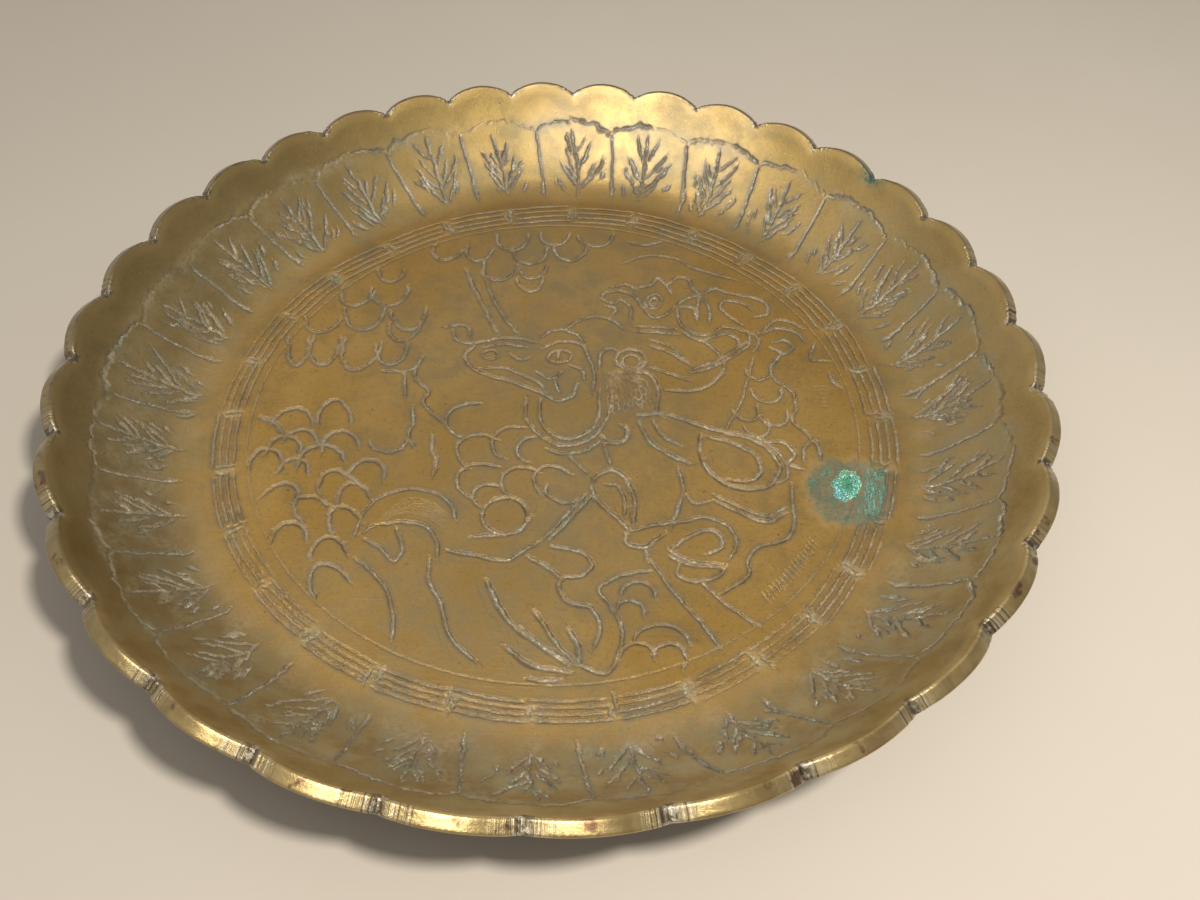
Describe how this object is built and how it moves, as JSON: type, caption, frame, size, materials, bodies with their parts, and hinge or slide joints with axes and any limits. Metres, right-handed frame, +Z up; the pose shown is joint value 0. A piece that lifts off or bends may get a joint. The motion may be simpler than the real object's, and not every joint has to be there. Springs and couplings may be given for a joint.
{
  "type": "decorative plate",
  "caption": "Round cast-brass dish with a scalloped, upturned rim and a low soldered foot ring, chased with a leaf-panel border, a bamboo ring and a beast-and-cloud scene.",
  "frame": {"origin": "centre of the circle the foot ring stands on, on the resting plane", "axes": "+Z up through the dish's axis; +Y is the far side of the engraved scene, -Y the near side, where the rim's lobes are widest"},
  "size_m": [0.2496, 0.2489, 0.0307],
  "materials": {
    "aged_brass": "aged, satin, grey-green deposit in the chased lines",
    "foot_brass": "lathe-turned, worn where it stands",
    "solder": "dull soft solder"
  },
  "bodies": {
    "root": {"dish_body": "aged_brass", "foot_ring": "foot_brass", "foot_solder": "solder"}
  },
  "joints": []
}
